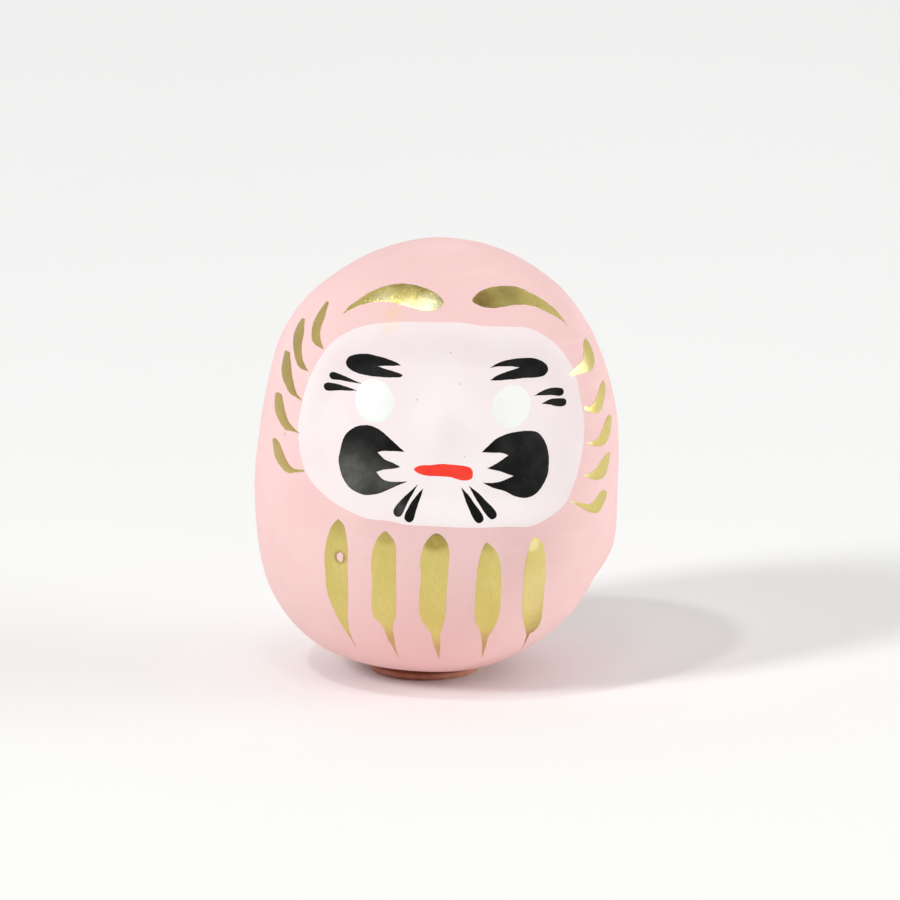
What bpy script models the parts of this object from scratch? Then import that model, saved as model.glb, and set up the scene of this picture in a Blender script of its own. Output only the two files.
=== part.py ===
"""Daruma doll: a hollow paper body with a clay weight in its foot, a base disc, and coats of paint.

All lengths below are in millimetres and are turned into metres when a mesh is made. The doll
stands on z = 0 and looks along -Y. Left and right are as seen from its front, so left is -X.
"""

import math

import bpy
import numpy as np
from mathutils import Vector, geometry
from mathutils.bvhtree import BVHTree
from mathutils.kdtree import KDTree

MM = 0.001

# Driving dimensions
HEIGHT = 80.0
HALF_WIDTH = 33.1
MIDDLE = 38.0  # height of the point that the body is measured from
WALL = 1.8  # thickness of the paper
GAP = 0.3  # clearance between touching pieces
PAINT = 0.3  # thickness of one coat
FACE_DEPTH = 1.8  # how far the face lies behind the hood
FACE_SLOPE = 5.4  # width of the slope round the face
NOSE = {"x": 1.8, "z": 54.8, "height": 1.3, "half_width": 3.4, "half_length": 4.2}
DISC = {"x": -2.2, "radius": 10.0, "thickness": 1.5, "bevel": 0.3}
OPENING = math.radians(-80.0)  # elevation of the rim of the opening under the body

# Half sections of the body, from the rim of the opening to the crown: (distance out, height).
# They differ because the body is moulded and finished by hand.
SECTIONS = {
    "left": [(6.0, 1.9), (13.0, 2.3), (18.8, 3.9), (24.4, 7.2), (28.9, 12.5), (31.8, 19.5),
             (32.9, 27.5), (HALF_WIDTH, 36.0), (32.5, 45.0), (30.8, 54.5), (27.7, 63.0),
             (22.2, 70.6), (12.6, 76.6), (0.0, HEIGHT)],
    "right": [(6.0, 1.9), (10.0, 2.3), (14.4, 3.5), (20.6, 7.4), (26.0, 13.0), (28.9, 18.0),
              (32.0, 23.4), (HALF_WIDTH, 36.0), (32.9, 45.0), (31.3, 54.5), (28.2, 63.0),
              (22.9, 70.6), (13.8, 76.9), (0.0, HEIGHT)],
    "front": [(6.0, 1.9), (11.5, 2.2), (17.0, 3.8), (22.5, 7.0), (27.5, 12.5), (31.0, 19.5),
              (32.8, 27.5), (33.0, 36.0), (32.2, 45.0), (29.8, 54.5), (26.0, 63.0),
              (20.0, 71.0), (12.3, 77.0), (0.0, HEIGHT)],
    "back": [(6.0, 1.9), (11.5, 2.2), (17.0, 3.6), (22.5, 6.8), (27.5, 12.0), (31.0, 19.0),
             (32.8, 27.0), (HALF_WIDTH, 36.0), (32.8, 45.0), (31.0, 54.5), (27.5, 63.0),
             (21.5, 71.0), (13.5, 77.0), (0.0, HEIGHT)],
}

# Turned section of the clay weight, from its underside on the axis to its top on the axis.
CLAY = [(0.0, 2.1), (5.2, 2.1), (5.4, 4.5), (9.5, 4.6), (13.5, 5.8), (16.0, 7.6), (16.4, 9.2),
        (14.0, 11.8), (9.5, 13.8), (4.5, 14.9), (0.0, 15.2)]

# Painted outlines. A smooth curve runs through the points, with a corner at each SHARP one.
# Outlines on the front are (x, z) as seen straight from the front.
SHARP = True
FACE = [(-25.1, 48.5), (-24.4, 54.5), (-20.4, 63.5), (-15.3, 67.7), (-9.0, 69.5), (-0.1, 69.9),
        (8.3, 69.1), (15.0, 68.4), (21.8, 64.2), (25.3, 58.1), (26.6, 49.5), (24.9, 40.3),
        (20.4, 35.0), (13.4, 34.1), (-0.4, 35.0), (-9.0, 35.6), (-15.9, 36.8), (-22.9, 41.2)]
MOUTH = [(-4.1, 45.1), (-1.1, 45.9), (3.1, 45.9), (6.2, 45.1), (6.2, 43.3), (3.7, 43.3),
         (0.3, 43.9), (-3.3, 44.4)]
EYES = {"left": (-11.2, 56.3, 3.5, 3.6), "right": (13.4, 55.1, 3.45, 3.6)}
BLACK_BROWS = {
    "left": [(-16.4, 62.0), (-14.7, 63.7), (-9.7, 63.6), (-6.6, 62.7, SHARP),
             (-10.5, 62.3, SHARP), (-8.5, 61.7), (-6.4, 61.1, SHARP), (-9.7, 60.5),
             (-14.2, 60.6)],
    "right": [(9.6, 61.9, SHARP), (13.1, 63.0), (17.2, 62.6), (20.0, 60.7), (17.8, 59.3),
              (13.4, 59.8), (9.6, 59.9, SHARP), (12.3, 60.9), (15.0, 61.4, SHARP), (12.0, 61.9)],
}
WHISKERS = {
    "left": [(-12.6, 52.2), (-9.0, 50.7), (-5.8, 48.1, SHARP), (-8.3, 48.1),
             (-10.7, 47.7, SHARP), (-9.0, 46.5), (-6.5, 45.4, SHARP), (-8.8, 44.9),
             (-10.9, 44.2, SHARP), (-8.8, 42.9), (-5.3, 42.9, SHARP), (-9.7, 40.7),
             (-13.0, 39.9), (-16.5, 41.6), (-17.6, 45.9), (-15.9, 50.8)],
    "right": [(16.2, 50.8), (19.1, 49.2), (20.2, 45.1), (19.1, 40.8), (15.7, 39.0),
              (12.0, 40.7), (8.2, 42.5, SHARP), (11.2, 42.4), (13.8, 43.2, SHARP), (11.4, 44.2),
              (9.0, 45.0, SHARP), (11.2, 46.0), (12.9, 47.0, SHARP), (10.6, 47.7),
              (8.1, 47.9, SHARP), (11.0, 50.2)],
}
GOLD_BROWS = {
    "left": [(-17.0, 69.8, SHARP), (-14.2, 72.2), (-10.6, 74.3), (-5.5, 75.4), (-1.2, 74.7),
             (1.2, 72.9), (-1.2, 71.6), (-4.8, 72.1), (-8.4, 72.6), (-13.2, 71.8)],
    "right": [(6.4, 73.0), (9.4, 74.5), (13.9, 74.2), (18.5, 71.9), (23.8, 66.5, SHARP),
              (20.4, 69.3), (16.3, 71.3), (11.1, 71.6), (7.6, 72.2)],
}
BEARD = [
    [(-17.8, 35.0, SHARP), (-16.4, 32.6), (-16.2, 26.3), (-16.1, 20.2), (-16.0, 13.5),
     (-14.6, 9.1, SHARP), (-17.0, 13.7), (-19.5, 19.8), (-20.3, 26.6), (-19.0, 33.1)],
    [(-9.3, 33.6), (-7.7, 32.2), (-7.3, 28.4), (-7.4, 18.5), (-7.9, 14.6),
     (-6.8, 7.1, SHARP), (-8.9, 12.8), (-11.4, 16.9), (-11.7, 24.0), (-11.2, 30.8)],
    [(-0.1, 33.6), (1.8, 32.2), (2.1, 28.5), (1.6, 18.7), (0.6, 13.0), (0.4, 7.5, SHARP),
     (-1.1, 14.2), (-3.0, 18.0), (-3.0, 26.5), (-1.5, 32.7)],
    [(8.9, 31.6, SHARP), (10.7, 29.9), (11.5, 26.2), (11.4, 18.1), (9.4, 12.9),
     (8.1, 7.1, SHARP), (8.0, 12.6), (6.8, 16.6), (6.9, 22.4), (7.8, 29.6)],
    [(17.5, 31.8, SHARP), (19.1, 30.0), (19.6, 25.0), (19.1, 15.2), (17.2, 11.7, SHARP),
     (15.4, 7.4, SHARP), (16.4, 11.9, SHARP), (15.5, 16.2), (15.6, 22.0), (16.5, 29.4)],
]

# Outlines on the sides are (azimuth, z), in degrees from the front and millimetres.
SIDE_STROKES = {
    "left": [
        [(-68.3, 70.7, SHARP), (-65.1, 67.3), (-59.0, 64.8), (-50.5, 63.9, SHARP),
         (-56.1, 65.9), (-60.0, 68.5), (-65.8, 70.7, SHARP)],
        [(-76.8, 67.0, SHARP), (-75.2, 64.6), (-67.1, 62.0), (-59.2, 59.9),
         (-54.1, 59.8, SHARP), (-60.6, 61.9), (-67.1, 65.2), (-73.8, 67.2, SHARP)],
        [(-75.3, 61.4, SHARP), (-72.3, 58.6), (-64.9, 56.1), (-58.5, 54.9),
         (-56.0, 54.6, SHARP), (-60.0, 56.8), (-66.1, 60.1), (-70.2, 61.6, SHARP)],
        [(-71.4, 54.0), (-69.7, 51.5), (-64.0, 49.5), (-59.5, 48.7), (-55.5, 48.8, SHARP),
         (-60.3, 50.8), (-64.1, 53.1), (-68.5, 54.4)],
        [(-67.8, 46.0), (-64.7, 43.2), (-61.0, 42.1), (-56.5, 41.3), (-51.0, 42.0, SHARP),
         (-55.6, 42.9), (-60.3, 44.9), (-65.8, 46.4)],
    ],
    "right": [
        [(76.3, 63.5), (76.7, 60.9), (72.3, 59.0), (67.5, 58.4), (62.0, 59.2, SHARP),
         (65.2, 60.7), (72.0, 63.0)],
        [(77.0, 55.8), (76.0, 53.9), (68.9, 51.5), (66.0, 51.2), (60.8, 52.2, SHARP),
         (64.6, 53.1), (72.3, 55.3)],
        [(75.9, 49.6), (74.9, 47.3), (67.8, 45.1), (64.0, 45.3), (59.0, 46.2, SHARP),
         (64.9, 47.0), (72.2, 49.4)],
        [(71.6, 43.2), (69.1, 40.7), (65.0, 39.2), (60.5, 39.5), (54.5, 40.9, SHARP),
         (60.6, 41.5), (68.6, 43.2)],
        [(67.6, 36.7), (68.3, 35.1), (62.5, 33.1), (56.0, 34.1), (46.0, 37.1, SHARP),
         (57.6, 35.3), (63.8, 36.7)],
    ],
}

# Small tapered strokes: (x, z, half width) along the middle, from the thin tip to the round end.
LASHES = {
    "left_upper": [(-13.6, 59.2, 0.0), (-15.6, 59.3, 0.3), (-18.7, 59.7, 0.6), (-19.4, 59.7, 0.0)],
    "left_lower": [(-14.6, 57.9, 0.0), (-16.3, 57.8, 0.3), (-19.6, 57.7, 0.7), (-20.2, 57.6, 0.0)],
    "right_upper": [(17.7, 56.5, 0.0), (19.1, 56.6, 0.3), (22.1, 56.4, 0.7), (23.0, 56.1, 0.0)],
    "right_lower": [(19.0, 55.0, 0.0), (20.4, 54.9, 0.3), (22.6, 54.4, 0.7), (23.4, 54.3, 0.0)],
}
CHIN_STROKES = {
    "left_outer": [(-3.4, 42.3, 0.0), (-4.9, 40.4, 0.4), (-7.0, 37.4, 0.9), (-7.3, 36.2, 0.0)],
    "left_inner": [(-2.4, 41.7, 0.0), (-3.3, 40.1, 0.4), (-5.1, 36.4, 0.8), (-5.3, 35.4, 0.0)],
    "right_inner": [(4.4, 41.7, 0.0), (5.3, 40.2, 0.4), (7.7, 36.0, 0.9), (8.2, 34.8, 0.0)],
    "right_outer": [(5.8, 41.9, 0.0), (7.0, 40.3, 0.4), (10.1, 36.5, 0.9), (10.7, 35.4, 0.0)],
}


# Materials

def material(name, colour, roughness, metallic=0.0):
    made = bpy.data.materials.new(name)
    made.use_nodes = True
    made.diffuse_color = (*colour, 1.0)
    shader = made.node_tree.nodes["Principled BSDF"]
    shader.inputs["Base Color"].default_value = (*colour, 1.0)
    shader.inputs["Roughness"].default_value = roughness
    shader.inputs["Metallic"].default_value = metallic
    return made


def make_materials():
    return {
        "pink": material("pink_paint", (0.86, 0.60, 0.57), 0.75),
        "face": material("face_paint", (0.93, 0.86, 0.85), 0.7),
        "white": material("white_paint", (0.95, 0.95, 0.93), 0.6),
        "black": material("black_ink", (0.03, 0.03, 0.03), 0.5),
        "red": material("red_paint", (0.90, 0.08, 0.04), 0.5),
        "gold": material("gold_paint", (0.66, 0.53, 0.21), 0.35, 1.0),
        "clay": material("clay", (0.36, 0.20, 0.12), 0.9),
        "board": material("base_board", (0.42, 0.18, 0.10), 0.9),
    }


# Curves

def between(a, b, c, d, steps):
    """Points from b up to c on the centripetal Catmull-Rom curve through a, b, c and d."""
    knots = [0.0]
    for start, end in ((a, b), (b, c), (c, d)):
        knots.append(knots[-1] + max(np.linalg.norm(end - start), 1e-6) ** 0.5)
    t0, t1, t2, t3 = knots
    t = np.linspace(t1, t2, steps, endpoint=False)[:, None]
    ab = (t1 - t) / (t1 - t0) * a + (t - t0) / (t1 - t0) * b
    bc = (t2 - t) / (t2 - t1) * b + (t - t1) / (t2 - t1) * c
    cd = (t3 - t) / (t3 - t2) * c + (t - t2) / (t3 - t2) * d
    abc = (t2 - t) / (t2 - t0) * ab + (t - t0) / (t2 - t0) * bc
    bcd = (t3 - t) / (t3 - t1) * bc + (t - t1) / (t3 - t1) * cd
    return (t2 - t) / (t2 - t1) * abc + (t - t1) / (t2 - t1) * bcd


def closed_curve(points, step):
    """A closed curve through the points, sampled about every step, with corners at SHARP ones."""
    spots = [np.array(point[:2], float) for point in points]
    sharp = [len(point) == 3 for point in points]
    count = len(spots)
    curve = []
    for i in range(count):
        before, start = spots[i - 1], spots[i]
        end, after = spots[(i + 1) % count], spots[(i + 2) % count]
        if sharp[i]:
            before = 2 * start - end
        if sharp[(i + 1) % count]:
            after = 2 * end - start
        steps = max(1, round(float(np.linalg.norm(end - start)) / step))
        curve.append(between(before, start, end, after, steps))
    return np.vstack(curve)


def stroke_outline(stations):
    """The outline of a tapered stroke that starts at a sharp tip and ends in a round end."""
    spots = np.array(stations, float)
    inner = spots[1:-1]
    along = spots[2:, :2] - spots[:-2, :2]
    across = np.stack([-along[:, 1], along[:, 0]], 1) / np.linalg.norm(along, axis=1)[:, None]
    one_side = inner[:, :2] + across * inner[:, 2:]
    other_side = inner[:, :2] - across * inner[:, 2:]
    outline = [(*spots[0, :2], SHARP)]
    outline += [tuple(spot) for spot in one_side]
    outline.append(tuple(spots[-1, :2]))
    outline += [tuple(spot) for spot in other_side[::-1]]
    return outline


def ellipse(x, z, half_width, half_height, count=16):
    turn = np.arange(count) * 2 * math.pi / count
    return [(x + half_width * math.cos(t), z + half_height * math.sin(t)) for t in turn]


def is_inside(curve, x, z):
    """Whether (x, z) lies within a closed curve."""
    inside = False
    for (x0, z0), (x1, z1) in zip(curve, np.roll(curve, -1, axis=0)):
        if (z0 > z) != (z1 > z) and x < x0 + (z - z0) / (z1 - z0) * (x1 - x0):
            inside = not inside
    return inside


# The body's surface

def section_radius(points):
    """The section as elevations seen from the body's middle and the distances at them."""
    spots = np.array(points, float)
    spots = np.vstack([[-spots[1, 0], spots[1, 1]], spots, [-spots[-2, 0], spots[-2, 1]]])
    curve = [between(*spots[i:i + 4], 12) for i in range(len(spots) - 3)]
    curve = np.vstack(curve + [spots[-2:-1]])
    elevation = np.arctan2(curve[:, 1] - MIDDLE, curve[:, 0])
    return elevation, np.hypot(curve[:, 0], curve[:, 1] - MIDDLE)


RADII = {side: section_radius(points) for side, points in SECTIONS.items()}


def body_point(azimuth, elevation):
    """A point of the plain body. Azimuth is 0 at the front and grows towards +X."""
    across, along = math.sin(azimuth), math.cos(azimuth)
    sideways = np.interp(elevation, *RADII["left" if across < 0 else "right"])
    lengthways = np.interp(elevation, *RADII["front" if along > 0 else "back"])
    radius = 1 / math.hypot(across / sideways, along / lengthways)
    level = radius * math.cos(elevation)
    return Vector((level * across, -level * along, MIDDLE + radius * math.sin(elevation)))


def azimuths():
    """Steps of 4 degrees round the front and 10 degrees round the back."""
    front = np.arange(-80.0, 80.0, 4.0)
    back = np.arange(80.0, 280.0, 10.0)
    return np.radians(np.concatenate([front, back]))


def elevations():
    """Steps of about 7 degrees, and of 3.5 degrees over the height of the face."""
    below = np.linspace(math.degrees(OPENING), -10.0, 11)
    face = np.linspace(-10.0, 64.0, 22)[1:]
    above = np.linspace(64.0, 90.0, 5)[1:-1]
    return np.radians(np.concatenate([below, face, above]))


def ring_faces(rows, columns):
    """Quads between neighbouring rows of a grid whose columns close round."""
    faces = []
    for row in range(rows - 1):
        for column in range(columns):
            ahead = (column + 1) % columns
            low, high = row * columns, (row + 1) * columns
            faces.append((low + column, low + ahead, high + ahead, high + column))
    return faces


def cap_faces(start, columns, pole):
    """Triangles from the row that begins at vertex start to a pole."""
    return [(start + i, start + (i + 1) % columns, pole) for i in range(columns)]


def surface_tree(points, faces):
    return BVHTree.FromPolygons(points, faces)


def plain_tree():
    columns = azimuths()
    rows = elevations()
    points = [body_point(azimuth, elevation) for elevation in rows for azimuth in columns]
    return surface_tree(points, ring_faces(len(rows), len(columns)))


def on_front(tree, x, z):
    """Where a line straight back from the front at (x, z) meets the surface, and its normal."""
    place, normal, _, _ = tree.ray_cast(Vector((x, -2 * HALF_WIDTH, z)), Vector((0, 1, 0)))
    return place, normal


def on_side(tree, azimuth, z):
    """Where a level line towards the axis, at an azimuth in degrees, meets the surface."""
    turn = math.radians(azimuth)
    outward = Vector((math.sin(turn), -math.cos(turn), 0))
    place, normal, _, _ = tree.ray_cast(outward * 2 * HALF_WIDTH + Vector((0, 0, z)), -outward)
    return place, normal


def make_relief():
    """How far the surface is pushed in at a point of the plain body: the face less the nose."""
    plain = plain_tree()
    outline = closed_curve(FACE, 1.0)
    edge = KDTree(len(outline))
    for index, (x, z) in enumerate(outline):
        edge.insert(on_front(plain, x, z)[0], index)
    edge.balance()

    def relief(point):
        if point.y > 0 or not is_inside(outline, point.x, point.z):
            return 0.0
        share = min(edge.find(point)[2] / FACE_SLOPE, 1.0)
        depth = FACE_DEPTH * share * share * (3 - 2 * share)
        across = (point.x - NOSE["x"]) / NOSE["half_width"]
        upward = (point.z - NOSE["z"]) / NOSE["half_length"]
        return depth - NOSE["height"] * math.exp(-(across * across + upward * upward) / 2)

    return relief


def pushed_in(point, depth):
    middle = Vector((0, 0, MIDDLE))
    spoke = point - middle
    return middle + spoke * (1 - depth / spoke.length)


# Objects

def add_object(name, points, faces, look, parent):
    """A named object whose origin is the middle of its points."""
    spots = [Vector(point) * MM for point in points]
    origin = sum(spots, Vector()) / len(spots)
    mesh = bpy.data.meshes.new(name)
    mesh.from_pydata([spot - origin for spot in spots], [], faces)
    mesh.validate()
    mesh.shade_smooth()
    mesh.set_sharp_from_angle(angle=math.radians(40))
    mesh.materials.append(look)
    made = bpy.data.objects.new(name, mesh)
    made.location = origin
    made.parent = parent
    bpy.context.collection.objects.link(made)
    return made


def paper_shell(relief, look, parent):
    """The hollow body, open underneath. Returns the tree of its outer surface."""
    columns = azimuths()
    rows = elevations()
    count = len(columns)
    outer = []
    for elevation in rows:
        for azimuth in columns:
            point = body_point(azimuth, elevation)
            outer.append(pushed_in(point, relief(point)))
    crown = Vector((0, 0, HEIGHT))
    inner_rows = [0, *range(1, len(rows), 2)]
    inner = []
    for row in inner_rows:
        for point in outer[row * count:(row + 1) * count]:
            inner.append(pushed_in(point, WALL))
    outer_count = len(outer)
    inner_faces = [tuple(outer_count + 1 + i for i in face[::-1])
                   for face in ring_faces(len(inner_rows), count)]
    outer_faces = ring_faces(len(rows), count) + cap_faces(outer_count - count, count, outer_count)
    inner_top = outer_count + 1 + len(inner) - count
    inner_pole = outer_count + 1 + len(inner)
    ceiling = [face[::-1] for face in cap_faces(inner_top, count, inner_pole)]
    rim = []
    for i in range(count):
        ahead = (i + 1) % count
        rim.append((i, outer_count + 1 + i, outer_count + 1 + ahead, ahead))
    points = outer + [crown] + inner + [pushed_in(crown, WALL)]
    add_object("paper_shell", points, outer_faces + inner_faces + ceiling + rim, look, parent)
    return surface_tree(outer + [crown], outer_faces)


def turned(name, profile, x, columns, look, parent):
    """A solid of revolution about the vertical line at x, from a section that starts and ends on it."""
    inner = profile[1:-1]
    points = []
    for radius, z in inner:
        for i in range(columns):
            turn = 2 * math.pi * i / columns
            points.append((x + radius * math.cos(turn), radius * math.sin(turn), z))
    foot, top = len(points), len(points) + 1
    points += [(x, 0, profile[0][1]), (x, 0, profile[-1][1])]
    faces = ring_faces(len(inner), columns)
    faces += [face[::-1] for face in cap_faces(0, columns, foot)]
    faces += cap_faces(foot - columns, columns, top)
    add_object(name, points, faces, look, parent)


def inner_points(curve, spacing):
    """A triangular grid of points inside a curve, kept clear of it."""
    low, high = curve.min(axis=0), curve.max(axis=0)
    rise = spacing * math.sin(math.radians(60))
    points = []
    for row, z in enumerate(np.arange(low[1] + rise / 2, high[1], rise)):
        shift = spacing / 2 * (row % 2)
        for x in np.arange(low[0] + shift, high[0], spacing):
            clear = np.linalg.norm(curve - (x, z), axis=1).min() > 0.6 * spacing
            if clear and is_inside(curve, x, z):
                points.append((x, z))
    return points


def coat(name, outline, place, edge_step, spacing, look, parent):
    """A thin solid over a surface, bounded by an outline. Returns the tree of its outer face."""
    curve = closed_curve(outline, edge_step)
    flat = [Vector(point) for point in curve] + [Vector(p) for p in inner_points(curve, spacing)]
    flat, _, triangles, *_ = geometry.delaunay_2d_cdt(flat, [], [list(range(len(curve)))], 1, 1e-5)
    under = []
    over = []
    for x, z in flat:
        spot, normal = place(x, z)
        under.append(spot + normal * GAP)
        over.append(spot + normal * (GAP + PAINT))
    count = len(flat)
    first = triangles[0]
    facing = (over[first[1]] - over[first[0]]).cross(over[first[2]] - over[first[0]])
    if facing.dot(over[first[0]] - under[first[0]]) < 0:
        triangles = [face[::-1] for face in triangles]
    edges = {(face[i - 1], face[i]) for face in triangles for i in range(3)}
    border = [(a, b) for a, b in edges if (b, a) not in edges]
    faces = [tuple(count + i for i in face) for face in triangles]
    faces += [tuple(face[::-1]) for face in triangles]
    faces += [(a, b, count + b, count + a) for a, b in sorted(border)]
    add_object(name, under + over, faces, look, parent)
    return surface_tree(over, [tuple(face) for face in triangles])


def paint_face(shell, looks, parent):
    """The white coat of the face, and the eyes, mouth and black strokes on it."""
    face = coat("face_coat", FACE, lambda x, z: on_front(shell, x, z), 1.5, 2.0,
                looks["face"], parent)

    def mark(name, outline, look, edge_step=0.7, spacing=1.6):
        coat(name, outline, lambda x, z: on_front(face, x, z), edge_step, spacing, look, parent)

    mark("mouth", MOUTH, looks["red"])
    for side, size in EYES.items():
        mark(f"eye_white_{side}", ellipse(*size), looks["white"], 1.4, 1.8)
    for side, outline in BLACK_BROWS.items():
        mark(f"black_brow_{side}", outline, looks["black"])
    for side, outline in WHISKERS.items():
        mark(f"whisker_{side}", outline, looks["black"], 0.9)
    for place, stations in LASHES.items():
        mark(f"lash_{place}", stroke_outline(stations), looks["black"])
    for place, stations in CHIN_STROKES.items():
        mark(f"chin_stroke_{place}", stroke_outline(stations), looks["black"])


def paint_body(shell, looks, parent):
    """The gold brows, beard strokes and side strokes."""
    def on_shell(x, z):
        return on_front(shell, x, z)

    for side, outline in GOLD_BROWS.items():
        coat(f"gold_brow_{side}", outline, on_shell, 1.0, 1.8, looks["gold"], parent)
    for number, outline in enumerate(BEARD, 1):
        coat(f"beard_stroke_{number}", outline, on_shell, 1.6, 2.2, looks["gold"], parent)
    per_degree = math.radians(HALF_WIDTH)
    for side, strokes in SIDE_STROKES.items():
        for number, outline in enumerate(strokes, 1):
            unrolled = [(azimuth * per_degree, *rest) for azimuth, *rest in outline]
            coat(f"side_stroke_{side}_{number}", unrolled,
                 lambda arc, z: on_side(shell, arc / per_degree, z),
                 1.2, 2.0, looks["gold"], parent)


def main():
    for item in list(bpy.data.objects):
        bpy.data.objects.remove(item)
    looks = make_materials()
    doll = bpy.data.objects.new("daruma", None)
    bpy.context.collection.objects.link(doll)
    shell = paper_shell(make_relief(), looks["pink"], doll)
    turned("clay_weight", CLAY, 0.0, 32, looks["clay"], doll)
    bevel = DISC["bevel"]
    radius, top = DISC["radius"], DISC["thickness"]
    rim = [(0, 0), (radius - bevel, 0), (radius, bevel), (radius, top - bevel),
           (radius - bevel, top), (0, top)]
    turned("base_disc", rim, DISC["x"], 48, looks["board"], doll)
    paint_face(shell, looks, doll)
    paint_body(shell, looks, doll)


main()
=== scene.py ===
"""Daruma doll: its fine surface, painted marks and materials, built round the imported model.

Lengths are in millimetres until a mesh is made. The doll stands on z = 0 and looks along -Y,
and left is -X, as seen from its front.
"""
import math
import random

import bpy
import numpy as np
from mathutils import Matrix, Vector, geometry
from mathutils.bvhtree import BVHTree


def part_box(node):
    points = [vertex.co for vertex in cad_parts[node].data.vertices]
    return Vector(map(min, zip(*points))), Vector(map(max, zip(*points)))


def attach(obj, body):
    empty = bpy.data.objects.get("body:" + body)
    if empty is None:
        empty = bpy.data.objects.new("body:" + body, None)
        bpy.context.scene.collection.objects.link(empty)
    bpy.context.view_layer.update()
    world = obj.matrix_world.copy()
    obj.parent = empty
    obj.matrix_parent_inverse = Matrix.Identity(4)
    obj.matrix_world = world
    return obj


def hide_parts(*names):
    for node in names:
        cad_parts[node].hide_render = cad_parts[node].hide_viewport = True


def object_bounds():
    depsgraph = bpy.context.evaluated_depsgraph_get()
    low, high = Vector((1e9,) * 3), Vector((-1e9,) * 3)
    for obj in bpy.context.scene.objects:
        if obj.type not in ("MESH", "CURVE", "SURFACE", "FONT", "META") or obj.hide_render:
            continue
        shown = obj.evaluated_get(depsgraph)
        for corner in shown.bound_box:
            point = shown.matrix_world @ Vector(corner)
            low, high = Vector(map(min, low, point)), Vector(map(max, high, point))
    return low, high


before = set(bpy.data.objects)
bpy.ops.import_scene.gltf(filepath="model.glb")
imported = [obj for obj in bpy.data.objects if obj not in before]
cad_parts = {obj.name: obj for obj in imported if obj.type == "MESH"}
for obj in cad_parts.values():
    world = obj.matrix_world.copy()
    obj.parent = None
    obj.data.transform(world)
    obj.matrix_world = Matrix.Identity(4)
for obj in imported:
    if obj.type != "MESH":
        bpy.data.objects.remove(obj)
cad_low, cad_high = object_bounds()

MM = 0.001
BODY = "root"
HEIGHT = cad_high.z / MM
HALF_WIDTH = 33.1
MIDDLE = 38.0  # height of the point that the body's surface is described from
RIM = math.radians(-80.0)  # the rim of the opening underneath, as an elevation from there
WALL = 1.8
DISC_SHRINK = 0.35  # how far the board's soft top has shrunk back from the shell

# The face lies in a hollow. Its depth is a share of FACE_DEPTH at the chin and grows to the
# whole above HOOD_FOOT, where the hood's lip is also fuller.
FACE_DEPTH = 2.0
FACE_SLOPE = 5.4
CHIN_SHARE = 0.5
HOOD_FOOT = 48.0
HOOD_RISE = 16.0
HOOD_LIP = 1.0
NOSE = {"x": 1.8, "z": 54.3, "height": 2.3, "half_width": 3.2, "half_length": 3.7}

# How high the edge and the middle of each kind of paint stand above the skin.
FACE_COAT = (0.03, 0.055)
FACE_MARK = (0.07, 0.115)
SKIN_MARK = (0.03, 0.08)
SIDE_MARK = (0.06, 0.10)
SUNK = 0.05  # how far a coat's underside reaches into what it covers
BED_EDGE = 0.25  # how far inside the face's edge the skin starts to sink under its coat
BED_SLOPE = 0.6

# The body's sections from the opening to the crown: distance from the axis, and height.
SECTIONS = {
    "left": [(6.0, 1.9), (13.0, 2.3), (18.8, 3.9), (24.4, 7.2), (28.9, 12.5), (31.8, 19.5),
             (32.9, 27.5), (HALF_WIDTH, 36.0), (32.5, 45.0), (30.8, 54.5), (27.7, 63.0),
             (22.2, 70.6), (12.6, 76.6), (0.0, HEIGHT)],
    "right": [(6.0, 1.9), (10.0, 2.3), (14.4, 3.5), (20.6, 7.4), (26.0, 13.0), (28.9, 18.0),
              (32.0, 23.4), (HALF_WIDTH, 36.0), (32.9, 45.0), (31.3, 54.5), (28.2, 63.0),
              (22.9, 70.6), (13.8, 76.9), (0.0, HEIGHT)],
    "front": [(6.0, 1.9), (11.5, 2.2), (17.0, 3.8), (22.5, 7.0), (27.5, 12.5), (31.0, 19.5),
              (32.8, 27.5), (33.0, 36.0), (32.2, 45.0), (29.8, 54.5), (26.0, 63.0),
              (20.0, 71.0), (12.3, 77.0), (0.0, HEIGHT)],
    "back": [(6.0, 1.9), (11.5, 2.2), (17.0, 3.6), (22.5, 6.8), (27.5, 12.0), (31.0, 19.0),
             (32.8, 27.0), (HALF_WIDTH, 36.0), (32.8, 45.0), (31.0, 54.5), (27.5, 63.0),
             (21.5, 71.0), (13.5, 77.0), (0.0, HEIGHT)],
}

# Uneven handwork: broad waves (direction, wavelength, height, phase), and single dents and
# bumps (azimuth in degrees, height, radius, rise).
WAVES = [((1.0, 0.3, 0.5), 21.0, 0.10, 0.4), ((-0.4, 1.0, 0.7), 16.0, 0.07, 1.9),
         ((0.2, -0.6, 1.0), 27.0, 0.10, 2.7), ((0.9, 0.8, -0.5), 11.0, 0.035, 0.9),
         ((-0.8, 0.5, 0.9), 8.0, 0.02, 4.1)]
DENTS = [(97.0, 23.6, 4.5, 0.35), (95.0, 16.5, 4.5, -0.3), (-60.0, 76.5, 7.0, 0.25),
         (150.0, 52.0, 9.0, -0.3), (-140.0, 30.0, 8.0, 0.3), (200.0, 66.0, 8.0, 0.25)]
# The unevenness fades out over a height above the foot and under the crown: where it has
# gone, and over what height.
CALM_FOOT = (2.0, 6.0)
CALM_CROWN = (0.3, 5.0)

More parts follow.
